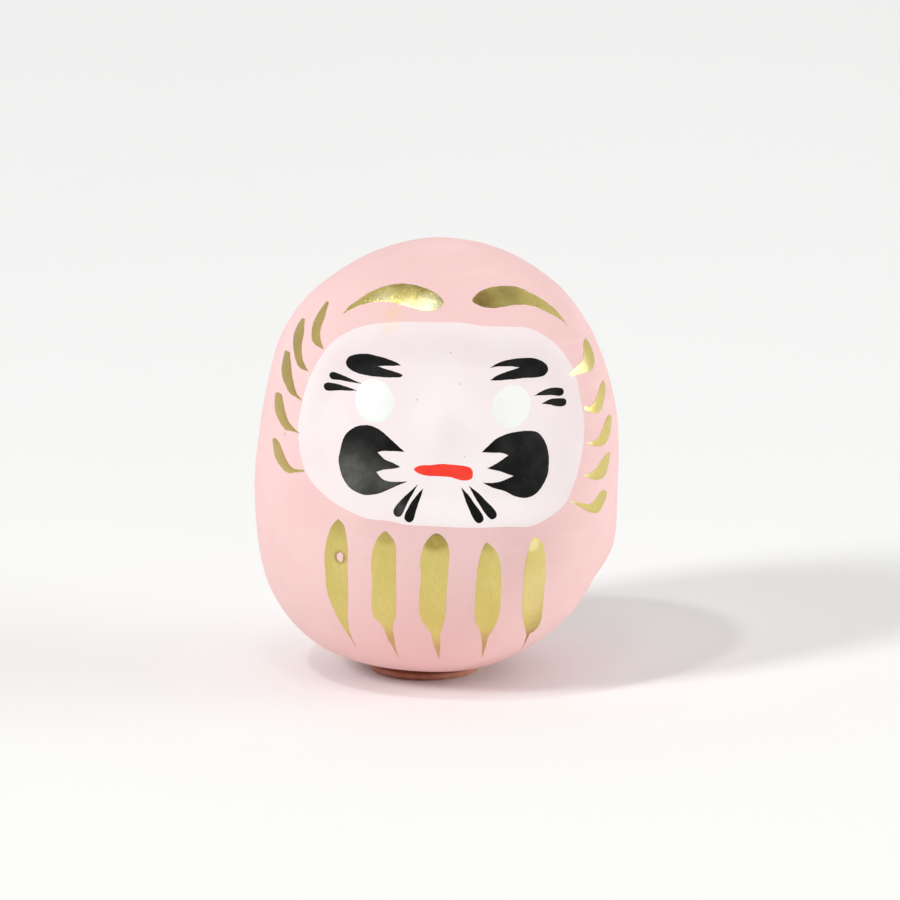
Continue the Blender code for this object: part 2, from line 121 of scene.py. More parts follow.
# Outlines of the painted marks, as x and z seen from the front. A curve runs smoothly through
# the points, with a corner at each one that is marked SHARP.
SHARP = True
FACE = [(-25.1, 49.9), (-24.7, 52.6), (-23.3, 58.1), (-20.4, 63.5), (-17.9, 66.1), (-15.3, 67.7),
        (-12.8, 68.7), (-9.0, 69.5), (-5.2, 69.9), (-0.1, 69.9), (4.2, 69.8), (8.3, 69.1),
        (13.4, 68.5), (16.2, 68.0), (19.0, 66.6), (21.8, 64.2), (23.9, 61.3), (25.3, 58.1),
        (25.9, 54.8), (26.6, 51.0), (26.6, 47.7), (25.9, 43.5), (24.9, 40.3), (23.2, 36.9),
        (20.4, 35.0), (16.9, 33.8), (13.4, 34.2), (6.5, 34.5), (-0.4, 35.0), (-5.6, 35.2),
        (-9.0, 35.7), (-12.5, 35.8), (-15.9, 36.8), (-19.4, 38.4), (-22.9, 41.2), (-24.4, 44.4)]
MOUTH = [(-4.1, 45.1), (-3.3, 45.7), (-1.1, 45.9), (1.0, 46.1), (3.1, 45.9), (5.1, 45.6),
         (6.2, 45.1), (6.5, 44.3), (6.2, 43.3), (5.0, 43.0), (3.7, 43.3), (2.4, 43.7),
         (0.3, 43.9), (-1.8, 44.0), (-3.3, 44.4)]
# x, z, half width and half height.
EYES = {"left": (-11.2, 56.3, 3.5, 3.6), "right": (13.4, 55.1, 3.45, 3.55)}
BLACK_BROWS = {
    "left": [(-16.4, 62.0), (-16.0, 63.1), (-14.7, 63.7), (-12.7, 64.0), (-9.9, 63.6),
             (-7.6, 63.0), (-6.4, 62.4, SHARP), (-8.6, 62.2), (-10.7, 62.0, SHARP),
             (-9.0, 61.6), (-7.0, 61.2), (-6.2, 60.9), (-6.4, 60.6), (-7.6, 60.4),
             (-9.7, 60.3), (-12.1, 60.3), (-14.2, 60.5), (-15.8, 61.1)],
    "right": [(9.6, 61.9, SHARP), (11.0, 62.6), (13.1, 63.0), (15.2, 63.0), (17.2, 62.8),
              (18.8, 62.2), (19.9, 61.2), (20.1, 60.4), (19.5, 59.6), (18.3, 59.3),
              (16.2, 59.5), (13.4, 59.6), (11.0, 59.7), (9.6, 59.8, SHARP), (10.8, 60.5),
              (12.9, 61.0), (15.0, 61.4, SHARP), (13.1, 61.8), (11.0, 62.0)],
}
WHISKERS = {
    "left": [(-12.6, 52.2), (-10.7, 51.8), (-9.0, 50.7), (-7.3, 49.3), (-5.8, 48.1, SHARP),
             (-7.6, 48.1), (-9.7, 48.0), (-10.7, 47.7, SHARP), (-9.4, 46.6), (-7.8, 46.0),
             (-6.5, 45.4, SHARP), (-8.0, 45.0), (-9.7, 44.7), (-10.9, 44.2, SHARP),
             (-9.7, 43.0), (-8.0, 42.7), (-5.3, 42.9, SHARP), (-6.8, 42.2), (-8.2, 41.5),
             (-9.7, 40.7), (-11.4, 40.1), (-12.8, 39.9), (-14.2, 40.1), (-15.9, 41.0),
             (-17.0, 42.5), (-17.6, 44.5), (-17.7, 45.9), (-17.4, 47.3, SHARP), (-16.9, 49.3),
             (-15.9, 50.8), (-14.4, 51.8)],
    "right": [(16.2, 50.8), (17.9, 50.4), (19.1, 49.2), (20.0, 47.0), (20.2, 45.1),
              (20.0, 42.7), (19.1, 40.8), (17.6, 39.3), (15.7, 39.0), (14.1, 39.5),
              (12.0, 40.7), (10.1, 41.4), (8.2, 42.5, SHARP), (10.0, 42.3), (11.7, 42.5),
              (13.8, 43.2, SHARP), (12.7, 43.7), (11.3, 44.3), (9.0, 45.0, SHARP),
              (10.7, 45.7), (11.7, 46.3), (12.9, 47.0, SHARP), (11.7, 47.5), (10.0, 47.7),
              (8.1, 47.9, SHARP), (9.3, 49.0), (11.0, 50.2), (13.4, 50.8)],
}
GOLD_BROWS = {
    "left": [(-17.0, 69.8, SHARP), (-15.9, 71.0), (-14.2, 72.2), (-12.6, 73.3), (-10.6, 74.3),
             (-8.7, 75.0), (-6.5, 75.4), (-4.5, 75.4), (-2.6, 75.1), (-0.9, 74.6), (0.5, 73.8),
             (1.2, 73.0), (1.1, 72.6), (0.2, 71.9), (-1.2, 71.6), (-2.9, 71.7), (-4.8, 72.1),
             (-6.7, 72.4), (-8.4, 72.6), (-10.3, 72.5), (-12.3, 72.1), (-14.2, 71.4),
             (-15.9, 70.5)],
    "right": [(6.4, 73.0), (7.0, 73.7), (8.5, 74.4), (10.4, 74.6), (12.9, 74.4), (14.9, 73.9),
              (16.6, 73.0), (18.5, 71.9), (20.7, 70.2), (22.1, 68.8), (23.8, 66.5, SHARP),
              (22.4, 67.9), (20.4, 69.3), (18.2, 70.6), (16.3, 71.3), (14.3, 71.6),
              (12.1, 71.6), (10.1, 71.6), (8.5, 71.9), (7.1, 72.4)],
}
BEARD = [
    [(-17.8, 35.0, SHARP), (-16.9, 34.1), (-16.4, 32.2), (-16.1, 29.2), (-16.2, 26.0),
     (-16.1, 22.5), (-16.1, 19.0), (-16.2, 16.5), (-16.0, 13.8), (-15.5, 11.6),
     (-14.6, 9.1, SHARP), (-15.9, 11.7), (-17.0, 13.7), (-18.2, 16.1), (-19.2, 18.5),
     (-19.9, 20.9), (-20.2, 24.4), (-20.3, 27.9), (-19.8, 31.2), (-18.8, 33.8)],
    [(-9.3, 33.7), (-8.3, 32.8), (-7.6, 31.7), (-7.4, 29.5), (-7.4, 26.0), (-7.4, 22.5),
     (-7.4, 19.0), (-7.5, 17.3), (-7.8, 16.2), (-8.0, 14.9), (-7.8, 12.8), (-7.5, 10.3),
     (-6.8, 7.1, SHARP), (-8.0, 10.2), (-8.9, 12.2), (-9.5, 14.0), (-10.1, 15.3),
     (-11.3, 16.6), (-11.7, 17.9), (-11.8, 20.5), (-11.7, 24.0), (-11.9, 27.6),
     (-11.5, 30.2), (-10.5, 32.6)],
    [(-0.2, 33.7), (0.9, 33.2), (1.8, 32.0), (2.2, 30.4), (2.2, 28.6), (1.9, 25.0),
     (1.7, 21.5), (1.5, 17.9), (1.0, 15.2), (0.6, 13.7), (0.6, 11.5), (0.4, 7.5, SHARP),
     (-0.2, 9.8), (-0.6, 11.3), (-1.1, 13.7), (-1.9, 15.2), (-2.8, 16.7), (-3.2, 18.8),
     (-3.2, 21.5), (-2.9, 25.2), (-3.0, 28.3), (-2.5, 30.9), (-1.5, 32.7)],
    [(8.9, 31.7, SHARP), (9.9, 30.8), (10.8, 29.6), (11.3, 28.0), (11.6, 25.5), (11.6, 22.5),
     (11.5, 19.3), (11.3, 17.4), (10.9, 15.7), (10.0, 13.7), (9.3, 12.5), (8.9, 10.5),
     (8.1, 7.1, SHARP), (8.2, 9.8), (8.1, 12.2), (7.7, 14.2), (7.1, 15.8), (6.8, 17.2),
     (6.9, 20.0), (7.1, 24.1), (7.5, 27.6), (8.0, 29.8), (8.5, 31.0)],
    [(17.5, 31.9, SHARP), (18.8, 30.7), (19.3, 29.4), (19.6, 27.4), (19.7, 24.8),
     (19.5, 22.0), (19.3, 19.0), (19.1, 15.9), (18.9, 14.3), (18.4, 12.8),
     (17.6, 11.8, SHARP), (16.8, 11.5, SHARP), (16.4, 10.2), (15.4, 7.4, SHARP),
     (16.0, 9.9), (16.3, 11.4, SHARP), (15.9, 13.7), (15.6, 15.6), (15.4, 18.0),
     (15.6, 21.5), (15.8, 25.0), (16.2, 28.0), (16.7, 29.9), (17.0, 31.0)],
]
# Where the gold has come off the first beard stroke: x, z, half width and half height.
CHIP = (-17.5, 27.9, 0.62, 0.95)
# The side strokes go round the body, so their points are azimuths in degrees and heights.
SIDE_STROKES = {
    "left": [
        [(-68.3, 70.7, SHARP), (-67.7, 69.9), (-66.4, 68.4), (-65.1, 67.3), (-62.3, 66.0),
         (-59.0, 64.8), (-55.4, 64.2), (-50.5, 63.9, SHARP), (-53.5, 64.9), (-56.1, 65.9),
         (-58.1, 67.0), (-60.0, 68.5), (-65.8, 70.7, SHARP)],
        [(-76.8, 67.0, SHARP), (-76.4, 66.0), (-75.2, 64.6), (-72.0, 63.4), (-67.1, 62.0),
         (-62.8, 60.7), (-59.2, 59.9), (-54.1, 59.8, SHARP), (-57.4, 60.7), (-60.6, 61.9),
         (-64.4, 63.7), (-67.1, 65.2), (-73.8, 67.2, SHARP)],
        [(-75.3, 61.4, SHARP), (-74.0, 60.1), (-72.3, 58.6), (-68.9, 57.2), (-64.9, 56.1),
         (-61.3, 55.2), (-57.1, 54.9), (-53.4, 54.6, SHARP), (-55.2, 55.1), (-57.4, 55.6),
         (-60.0, 56.8), (-62.8, 58.3), (-66.1, 60.1), (-70.2, 61.6, SHARP)],
        [(-71.4, 54.0), (-71.0, 52.9), (-69.7, 51.5), (-67.6, 50.5), (-64.0, 49.5),
         (-59.8, 48.7), (-55.5, 48.9), (-51.2, 48.9, SHARP), (-55.1, 49.5), (-58.3, 50.2),
         (-61.6, 51.6), (-64.1, 53.1), (-66.5, 54.3), (-68.5, 54.4)],
        [(-67.8, 46.0), (-66.8, 44.8), (-64.7, 43.2), (-61.0, 42.1), (-55.6, 41.3),
         (-51.2, 41.9), (-47.3, 42.4, SHARP), (-47.8, 42.7, SHARP), (-51.9, 42.4),
         (-54.6, 42.7), (-57.6, 43.7), (-60.3, 44.9), (-62.8, 45.9), (-65.8, 46.4)],
    ],
    "right": [
        [(76.3, 63.5, SHARP), (77.6, 62.4), (76.7, 60.9), (75.0, 59.8), (72.3, 59.0),
         (68.7, 58.5), (63.5, 58.6), (55.8, 58.8, SHARP), (55.2, 59.3, SHARP), (60.4, 60.1),
         (65.2, 60.7), (68.7, 61.8), (72.0, 63.0)],
        [(77.0, 55.8, SHARP), (77.6, 55.1), (76.0, 53.9), (72.6, 52.6), (68.9, 51.5),
         (65.7, 51.1), (62.5, 51.5), (58.0, 52.6, SHARP), (58.5, 53.1, SHARP), (61.7, 52.7),
         (64.6, 53.1), (67.9, 54.0), (72.3, 55.3)],
        [(75.9, 49.6, SHARP), (76.7, 48.9), (74.9, 47.3), (71.8, 45.9), (67.8, 45.1),
         (64.1, 45.2), (59.6, 45.9), (56.0, 46.8, SHARP), (60.6, 46.6), (64.9, 47.0),
         (68.5, 48.2), (72.2, 49.4)],
        [(71.4, 43.2, SHARP), (71.3, 42.4), (69.1, 40.7), (66.4, 39.4), (62.8, 39.2),
         (58.2, 39.8), (52.7, 41.3, SHARP), (56.9, 41.1), (60.6, 41.5), (64.1, 42.4),
         (68.6, 43.2)],
        [(67.1, 36.6), (68.7, 35.9), (68.3, 35.1), (65.5, 33.9), (62.5, 33.1), (58.9, 33.4),
         (54.2, 34.6), (49.7, 36.0), (46.0, 37.1, SHARP), (49.1, 36.7), (53.5, 35.8),
         (57.6, 35.3), (60.9, 35.8), (63.8, 36.7)],
    ],
}
# A tapered stroke: its tip, then centres and half widths, the last of which ends it round.
LASHES = {
    "left_upper": [(-13.5, 58.9, 0.0), (-15.4, 59.15, 0.25), (-17.2, 59.5, 0.48),
                   (-18.8, 59.75, 0.62)],
    "left_lower": [(-14.3, 57.7, 0.0), (-16.2, 57.75, 0.3), (-18.0, 57.8, 0.55),
                   (-19.7, 57.75, 0.72)],
    "right_upper": [(17.6, 56.4, 0.0), (19.2, 56.6, 0.4), (20.6, 56.6, 0.6),
                    (22.25, 56.35, 0.68)],
    "right_lower": [(18.9, 54.9, 0.0), (20.3, 54.9, 0.42), (21.4, 54.7, 0.62),
                    (22.7, 54.5, 0.7)],
}
CHIN_STROKES = {
    "left_outer": [(-3.4, 42.4, 0.0), (-4.9, 40.5, 0.38), (-6.1, 38.9, 0.68),
                   (-7.0, 37.4, 0.85)],
    "left_inner": [(-2.4, 41.8, 0.0), (-3.3, 40.2, 0.4), (-4.3, 38.3, 0.7),
                   (-5.0, 36.5, 0.85)],
    "right_inner": [(4.4, 41.8, 0.0), (5.3, 40.2, 0.4), (6.4, 38.1, 0.68),
                    (7.6, 36.1, 0.82)],
    "right_outer": [(5.8, 42.0, 0.0), (7.0, 40.5, 0.42), (8.4, 38.6, 0.68),
                    (10.0, 36.6, 0.8)],
}


# Curves in the plane

def between(a, b, c, d, steps):
    """Points from b up to c on the centripetal Catmull-Rom curve through a, b, c and d."""
    knots = [0.0]
    for start, end in ((a, b), (b, c), (c, d)):
        knots.append(knots[-1] + max(np.linalg.norm(end - start), 1e-6) ** 0.5)
    t0, t1, t2, t3 = knots
    t = np.linspace(t1, t2, steps, endpoint=False)[:, None]
    ab = (t1 - t) / (t1 - t0) * a + (t - t0) / (t1 - t0) * b
    bc = (t2 - t) / (t2 - t1) * b + (t - t1) / (t2 - t1) * c
    cd = (t3 - t) / (t3 - t2) * c + (t - t2) / (t3 - t2) * d
    abc = (t2 - t) / (t2 - t0) * ab + (t - t0) / (t2 - t0) * bc
    bcd = (t3 - t) / (t3 - t1) * bc + (t - t1) / (t3 - t1) * cd
    return (t2 - t) / (t2 - t1) * abc + (t - t1) / (t2 - t1) * bcd


def closed_curve(points, step):
    """A closed curve through the points, sampled about every step, with corners at SHARP ones."""
    spots = [np.array(point[:2], float) for point in points]
    sharp = [len(point) == 3 for point in points]
    count = len(spots)
    curve = []
    for i in range(count):
        before, start = spots[i - 1], spots[i]
        end, after = spots[(i + 1) % count], spots[(i + 2) % count]
        if sharp[i]:
            before = 2 * start - end
        if sharp[(i + 1) % count]:
            after = 2 * end - start
        steps = max(1, round(float(np.linalg.norm(end - start)) / step))
        curve.append(between(before, start, end, after, steps))
    return np.vstack(curve)


def stroke_outline(stations):
    """The outline of a tapered stroke that starts at a sharp tip and ends in a round end."""
    spots = np.array(stations, float)
    along = np.gradient(spots[:, :2], axis=0)
    along /= np.linalg.norm(along, axis=1)[:, None]
    across = np.stack([-along[:, 1], along[:, 0]], 1)
    wide = across * spots[:, 2:]
    outline = [(*spots[0, :2], SHARP)]
    outline += [tuple(spot) for spot in spots[1:, :2] + wide[1:]]
    centre, radius = spots[-1, :2], spots[-1, 2]
    for turn in np.radians([45, 0, -45]):
        outline.append(tuple(centre + radius * (math.cos(turn) * along[-1]
                                                + math.sin(turn) * across[-1])))
    outline += [tuple(spot) for spot in (spots[1:, :2] - wide[1:])[::-1]]
    return outline


def ellipse(x, z, half_width, half_height):
    """Points of an ellipse's outline."""
    count = 24
    turn = np.arange(count) * 2 * math.pi / count
    return [(x + half_width * math.cos(t), z + half_height * math.sin(t)) for t in turn]


def rough_edge(curve, rise, wavelength, seed):
    """The curve with a small uneven edge, the same each time for a given seed."""
    chance = random.Random(seed)
    waves = ((0.5, 2.4), (0.3, 1.0), (0.2, 0.45))  # share of the rise, and of the wavelength
    steps = np.linalg.norm(np.roll(curve, -1, axis=0) - curve, axis=1)
    along = np.concatenate([[0.0], np.cumsum(steps)[:-1]])
    whole = steps.sum()
    shift = np.zeros(len(curve))
    for share, stretch in waves:
        turns = max(1, round(whole / (wavelength * stretch)))
        shift += share * np.sin(2 * math.pi * turns * along / whole + chance.uniform(0, 6.28))
    tangent = np.roll(curve, -1, axis=0) - np.roll(curve, 1, axis=0)
    across = np.stack([tangent[:, 1], -tangent[:, 0]], 1)
    across /= np.maximum(np.linalg.norm(across, axis=1), 1e-9)[:, None]
    return curve + across * (rise * shift)[:, None]


def is_inside(curve, x, z):
    """Which of the points (x, z) lie within a closed curve."""
    inside = np.zeros(len(x), bool)
    for (x0, z0), (x1, z1) in zip(curve, np.roll(curve, -1, axis=0)):
        if z0 != z1:
            crosses = ((z0 > z) != (z1 > z)) & (x < x0 + (z - z0) / (z1 - z0) * (x1 - x0))
            inside ^= crosses
    return inside


def nearest(points, targets):
    """Each point's distance to the nearest target, a batch of points at a time."""
    batch = 4000
    found = np.empty(len(points))
    for start in range(0, len(points), batch):
        part = points[start:start + batch]
        gaps = np.linalg.norm(part[:, None, :] - targets[None, :, :], axis=2)
        found[start:start + batch] = gaps.min(axis=1)
    return found


def ease(share):
    """0 up to 1, with a level start and end."""
    share = np.clip(share, 0.0, 1.0)
    return share * share * (3 - 2 * share)


# The body's surface

def section_radius(points):
    """The section as elevations seen from the body's middle and the distances at them."""
    spots = np.array(points, float)
    spots = np.vstack([[-spots[1, 0], spots[1, 1]], spots, [-spots[-2, 0], spots[-2, 1]]])
    steps = 24
    curve = [between(*spots[i:i + 4], steps) for i in range(len(spots) - 3)]
    curve = np.vstack(curve + [spots[-2:-1]])
    elevation = np.arctan2(curve[:, 1] - MIDDLE, curve[:, 0])
    return elevation, np.hypot(curve[:, 0], curve[:, 1] - MIDDLE)


RADII = {side: section_radius(points) for side, points in SECTIONS.items()}
FAR = 2 * HALF_WIDTH  # a distance outside the body, where rays towards it start


def spokes(azimuth, elevation):
    """Unit directions from the body's middle. Azimuth is 0 at the front and grows towards +X."""
    level = np.cos(elevation)
    return np.stack([level * np.sin(azimuth), -level * np.cos(azimuth), np.sin(elevation)], 1)


def plain_points(azimuth, elevation):
    """Points of the body before relief and unevenness."""
    across, along = np.sin(azimuth), np.cos(azimuth)
    sideways = np.where(across < 0, np.interp(elevation, *RADII["left"]),
                        np.interp(elevation, *RADII["right"]))
    lengthways = np.where(along > 0, np.interp(elevation, *RADII["front"]),
                          np.interp(elevation, *RADII["back"]))
    radius = 1 / np.hypot(across / sideways, along / lengthways)
    return spokes(azimuth, elevation) * radius[:, None] + (0, 0, MIDDLE)


def angles_of(points):
    """Azimuth and elevation of points, seen from the body's middle."""
    x, y, z = points[:, 0], points[:, 1], points[:, 2] - MIDDLE
    return np.arctan2(x, -y), np.arctan2(z, np.hypot(x, y))


def grid(columns, rows):
    """Azimuths and elevations of a grid from the rim of the opening to just under the crown."""
    turn = np.arange(columns) * 2 * math.pi / columns
    rise = np.linspace(RIM, math.pi / 2, rows + 1)[:-1]
    azimuth, elevation = np.meshgrid(turn, rise)
    return azimuth.ravel(), elevation.ravel()


def ring_faces(rows, columns):
    """Quads between neighbouring rows of a grid whose columns close round."""
    low = np.arange(rows - 1)[:, None] * columns + np.arange(columns)[None, :]
    ahead = np.arange(rows - 1)[:, None] * columns + (np.arange(columns)[None, :] + 1) % columns
    quads = np.stack([low, ahead, ahead + columns, low + columns], 2)
    return [tuple(quad) for quad in quads.reshape(-1, 4).tolist()]


def cap_faces(start, columns, pole):
    """Triangles from the row that begins at vertex start to a pole."""
    return [(start + i, start + (i + 1) % columns, pole) for i in range(columns)]


def guide_tree(shape, columns, rows):
    """A body that tells where a point of an outline lies."""
    points = shape(*grid(columns, rows))
    return BVHTree.FromPolygons([Vector(p) for p in points], ring_faces(rows, columns))


def from_front(tree, x, z):
    """Angles of the tree's places straight behind (x, z), seen from the front."""
    hits = [tree.ray_cast(Vector((a, -FAR, b)), Vector((0, 1, 0)))[0] for a, b in zip(x, z)]
    return angles_of(np.array(hits, float))


def from_side(tree, turns, z):
    """Angles of the tree's places at a height, seen level from an azimuth."""
    hits = []
    for turn, height in zip(turns, z):
        outward = Vector((math.sin(turn), -math.cos(turn), 0))
        start = outward * FAR + Vector((0, 0, height))
        hits.append(tree.ray_cast(start, -outward)[0])
    return angles_of(np.array(hits, float))


PLAIN = guide_tree(plain_points, 120, 60)
FACE_CURVE = closed_curve(FACE, 0.4)
FACE_EDGE = plain_points(*from_front(PLAIN, FACE_CURVE[:, 0], FACE_CURVE[:, 1]))


def inward(points):
    """How deep each plain point is pushed in: the face's hollow less its nose, and the bed
    that its coat lies in."""
    depth = np.zeros(len(points))
    bed = np.zeros(len(points))
    chosen = np.flatnonzero(points[:, 1] < 0)
    chosen = chosen[is_inside(FACE_CURVE, points[chosen, 0], points[chosen, 2])]
    part = points[chosen]
    if len(part):
        edge = nearest(part, FACE_EDGE)
        across = (part[:, 0] - NOSE["x"]) / NOSE["half_width"]
        upward = (part[:, 2] - NOSE["z"]) / NOSE["half_length"]
        nose = NOSE["height"] * np.exp(-(across ** 2 + upward ** 2) / 2)
        hood = ease((part[:, 2] - HOOD_FOOT) / HOOD_RISE)
        hollow = FACE_DEPTH * (CHIN_SHARE + (1 - CHIN_SHARE) * hood)
        lip = HOOD_LIP * hood
        depth[chosen] = hollow * ease((edge - lip) / (FACE_SLOPE + lip)) - nose
        bed[chosen] = ease((edge - BED_EDGE) / BED_SLOPE)
    return depth, bed


def unevenness(points):
    """Broad waves and single dents of handwork."""
    rise = np.zeros(len(points))
    for direction, wavelength, height, phase in WAVES:
        unit = np.array(direction) / np.linalg.norm(direction)
        rise += height * np.sin(points @ unit * 2 * math.pi / wavelength + phase)
    for azimuth, z, radius, height in DENTS:
        centre = plain_points(*from_side(PLAIN, [math.radians(azimuth)], [z]))
        gap = np.linalg.norm(points - centre, axis=1) / radius
        rise += height * np.exp(-gap ** 2)
    above = ease((points[:, 2] - CALM_FOOT[0]) / CALM_FOOT[1])
    below = ease((HEIGHT - CALM_CROWN[0] - points[:, 2]) / CALM_CROWN[1])
    return rise * (above * below)


def surface(azimuth, elevation, bedded=False):
    """Points of the finished surface. Bedded ones lie a little deeper under the face's coat."""
    points = plain_points(azimuth, elevation)
    depth, bed = inward(points)
    depth -= unevenness(points)
    if bedded:
        depth += 2 * SUNK * bed
    return points - spokes(azimuth, elevation) * depth[:, None]


def outward_normals(azimuth, elevation):
    """Normals of the finished surface, from points about 0.3 mm apart."""
    step = 0.004  # radians
    east = surface(azimuth + step, elevation) - surface(azimuth - step, elevation)
    north = surface(azimuth, elevation + step) - surface(azimuth, elevation - step)
    normal = np.cross(east, north)
    return normal / np.linalg.norm(normal, axis=1)[:, None]


GUIDE = guide_tree(surface, 300, 150)


def place_front(x, z):
    """Angles of the finished surface's places straight behind (x, z)."""
    return from_front(GUIDE, x, z)


def place_side(arc, z):
    """The same for a height, and an arc that counts round a cylinder of the body's width."""
    return from_side(GUIDE, arc / HALF_WIDTH, z)


# Meshes

def add_piece(name, points, faces, look, slot, *nodes):
    """A smooth mesh that rides on the doll's body and stands for CAD nodes."""
    mesh = bpy.data.meshes.new(name)
    mesh.from_pydata((np.asarray(points) * MM).tolist(), [], faces)
    mesh.validate()
    mesh.shade_smooth()
    mesh.materials.append(look)
    piece = bpy.data.objects.new(name, mesh)
    bpy.context.scene.collection.objects.link(piece)
    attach(piece, BODY)
    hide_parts(*nodes)
    return piece


def body_shell(look):
    """The paper body: a fine outer skin, and a plainer inner one that meets it at the opening."""
    columns, rows, coarser = 320, 170, 10
    azimuth, elevation = grid(columns, rows)
    outer = surface(azimuth, elevation, bedded=True)
    crown = surface(np.zeros(1), np.full(1, math.pi / 2))
    inner_rows = list(range(0, rows, coarser))
    inner = np.vstack([outer[row * columns:(row + 1) * columns] for row in inner_rows])
    middle = np.array([0, 0, MIDDLE])
    inner_pole = crown + (0, 0, -WALL)
    spoke = inner - middle
    inner = middle + spoke * (1 - WALL / np.linalg.norm(spoke, axis=1))[:, None]
    count = len(outer)
    faces = ring_faces(rows, columns) + cap_faces(count - columns, columns, count)
    faces += [tuple(count + 1 + i for i in face[::-1])
              for face in ring_faces(len(inner_rows), columns)]
    top = count + 1 + len(inner) - columns
    faces += [face[::-1] for face in cap_faces(top, columns, count + 1 + len(inner))]
    for i in range(columns):
        ahead = (i + 1) % columns
        faces.append((i, count + 1 + i, count + 1 + ahead, ahead))
    points = np.vstack([outer, crown, inner, inner_pole])
    return add_piece("painted_body", points, faces, look, "pink_paper", "paper_shell")


def turned(name, profile, x, columns, look, slot, node, wobble=0.0):
    """A solid of revolution about the vertical line at x, a little uneven if asked."""
    turn = np.arange(columns) * 2 * math.pi / columns
    points = []
    for radius, z in profile[1:-1]:
        uneven = 1 + wobble * (np.sin(3 * turn + z) + 0.6 * np.sin(7 * turn + 2 * z)) / 1.6
        ring = radius * uneven
        points.append(np.stack([x + ring * np.cos(turn), ring * np.sin(turn),
                                np.full(columns, z)], 1))
    points.append(np.array([[x, 0, profile[0][1]], [x, 0, profile[-1][1]]]))
    rows = len(profile) - 2
    foot = rows * columns
    faces = ring_faces(rows, columns)
    faces += [face[::-1] for face in cap_faces(0, columns, foot)]
    faces += cap_faces(foot - columns, columns, foot + 1)
    piece = add_piece(name, np.vstack(points), faces, look, slot, node)
    piece.data.set_sharp_from_angle(angle=math.radians(50))
    return piece


def fill(curve, spacing, holes):
    """Points and triangles that fill a closed curve, leaving out its holes."""
    low, high = curve.min(axis=0), curve.max(axis=0)
    rise = spacing * math.sin(math.radians(60))  # rows of equilateral triangles
    clear = 0.55 * spacing  # nearer to an outline than this, a point would make slivers
    rows = []
    for row, z in enumerate(np.arange(low[1] + rise / 2, high[1], rise)):
        x = np.arange(low[0] + spacing / 2 * (row % 2), high[0], spacing)
        rows.append(np.stack([x, np.full(len(x), z)], 1))
    inner = np.vstack(rows)
    inner = inner[is_inside(curve, inner[:, 0], inner[:, 1])]
    loops = [curve, *holes]
    for loop in loops:
        inner = inner[nearest(inner, loop) > clear]
    for hole in holes:
        inner = inner[~is_inside(hole, inner[:, 0], inner[:, 1])]
    flat = [Vector(point) for loop in loops for point in loop] + [Vector(p) for p in inner]
    starts = np.cumsum([0] + [len(loop) for loop in loops])
    edges = [(int(a + i), int(a + (i + 1) % (b - a)))
             for a, b in zip(starts[:-1], starts[1:]) for i in range(b - a)]
    flat, _, triangles, *_ = geometry.delaunay_2d_cdt(flat, edges, [], 1, 1e-6)
    flat = np.array(flat)
    triangles = np.array(triangles)
    centres = flat[triangles].mean(axis=1)
    keep = is_inside(curve, centres[:, 0], centres[:, 1])
    for hole in holes:
        keep &= ~is_inside(hole, centres[:, 0], centres[:, 1])
    return flat, triangles[keep], np.vstack(loops)


def film(name, curve, place, heights, spacing, look, slot, node, holes=(), edge_width=0.35):
    """A thin coat of paint over the surface, whose top rounds down from its middle to its rim."""
    flat, triangles, border = fill(curve, spacing, holes)
    used = np.unique(triangles)
    renumber = np.full(len(flat), -1)
    renumber[used] = np.arange(len(used))
    flat, triangles = flat[used], renumber[triangles]
    azimuth, elevation = place(flat[:, 0], flat[:, 1])
    base = surface(azimuth, elevation)
    normal = outward_normals(azimuth, elevation)
    rounding = np.sqrt(1 - (1 - np.clip(nearest(flat, border) / edge_width, 0, 1)) ** 2)
    height = heights[0] + (heights[1] - heights[0]) * rounding
    over = base + normal * height[:, None]
    under = base - normal * SUNK
    count = len(flat)
    first = triangles[0]
    facing = np.cross(over[first[1]] - over[first[0]], over[first[2]] - over[first[0]])
    if facing @ normal[first[0]] < 0:
        triangles = triangles[:, ::-1]
    triangles = triangles.tolist()
    edges = {(face[i - 1], face[i]) for face in triangles for i in range(3)}
    faces = [tuple(face) for face in triangles]
    faces += [tuple(count + i for i in face[::-1]) for face in triangles]
    faces += [(b, a, count + a, count + b) for a, b in sorted(edges) if (b, a) not in edges]
    piece = add_piece(name, np.vstack([over, under]), faces, look, slot, node)
    piece.data.set_sharp_from_angle(angle=math.radians(60))
    return piece


# Materials

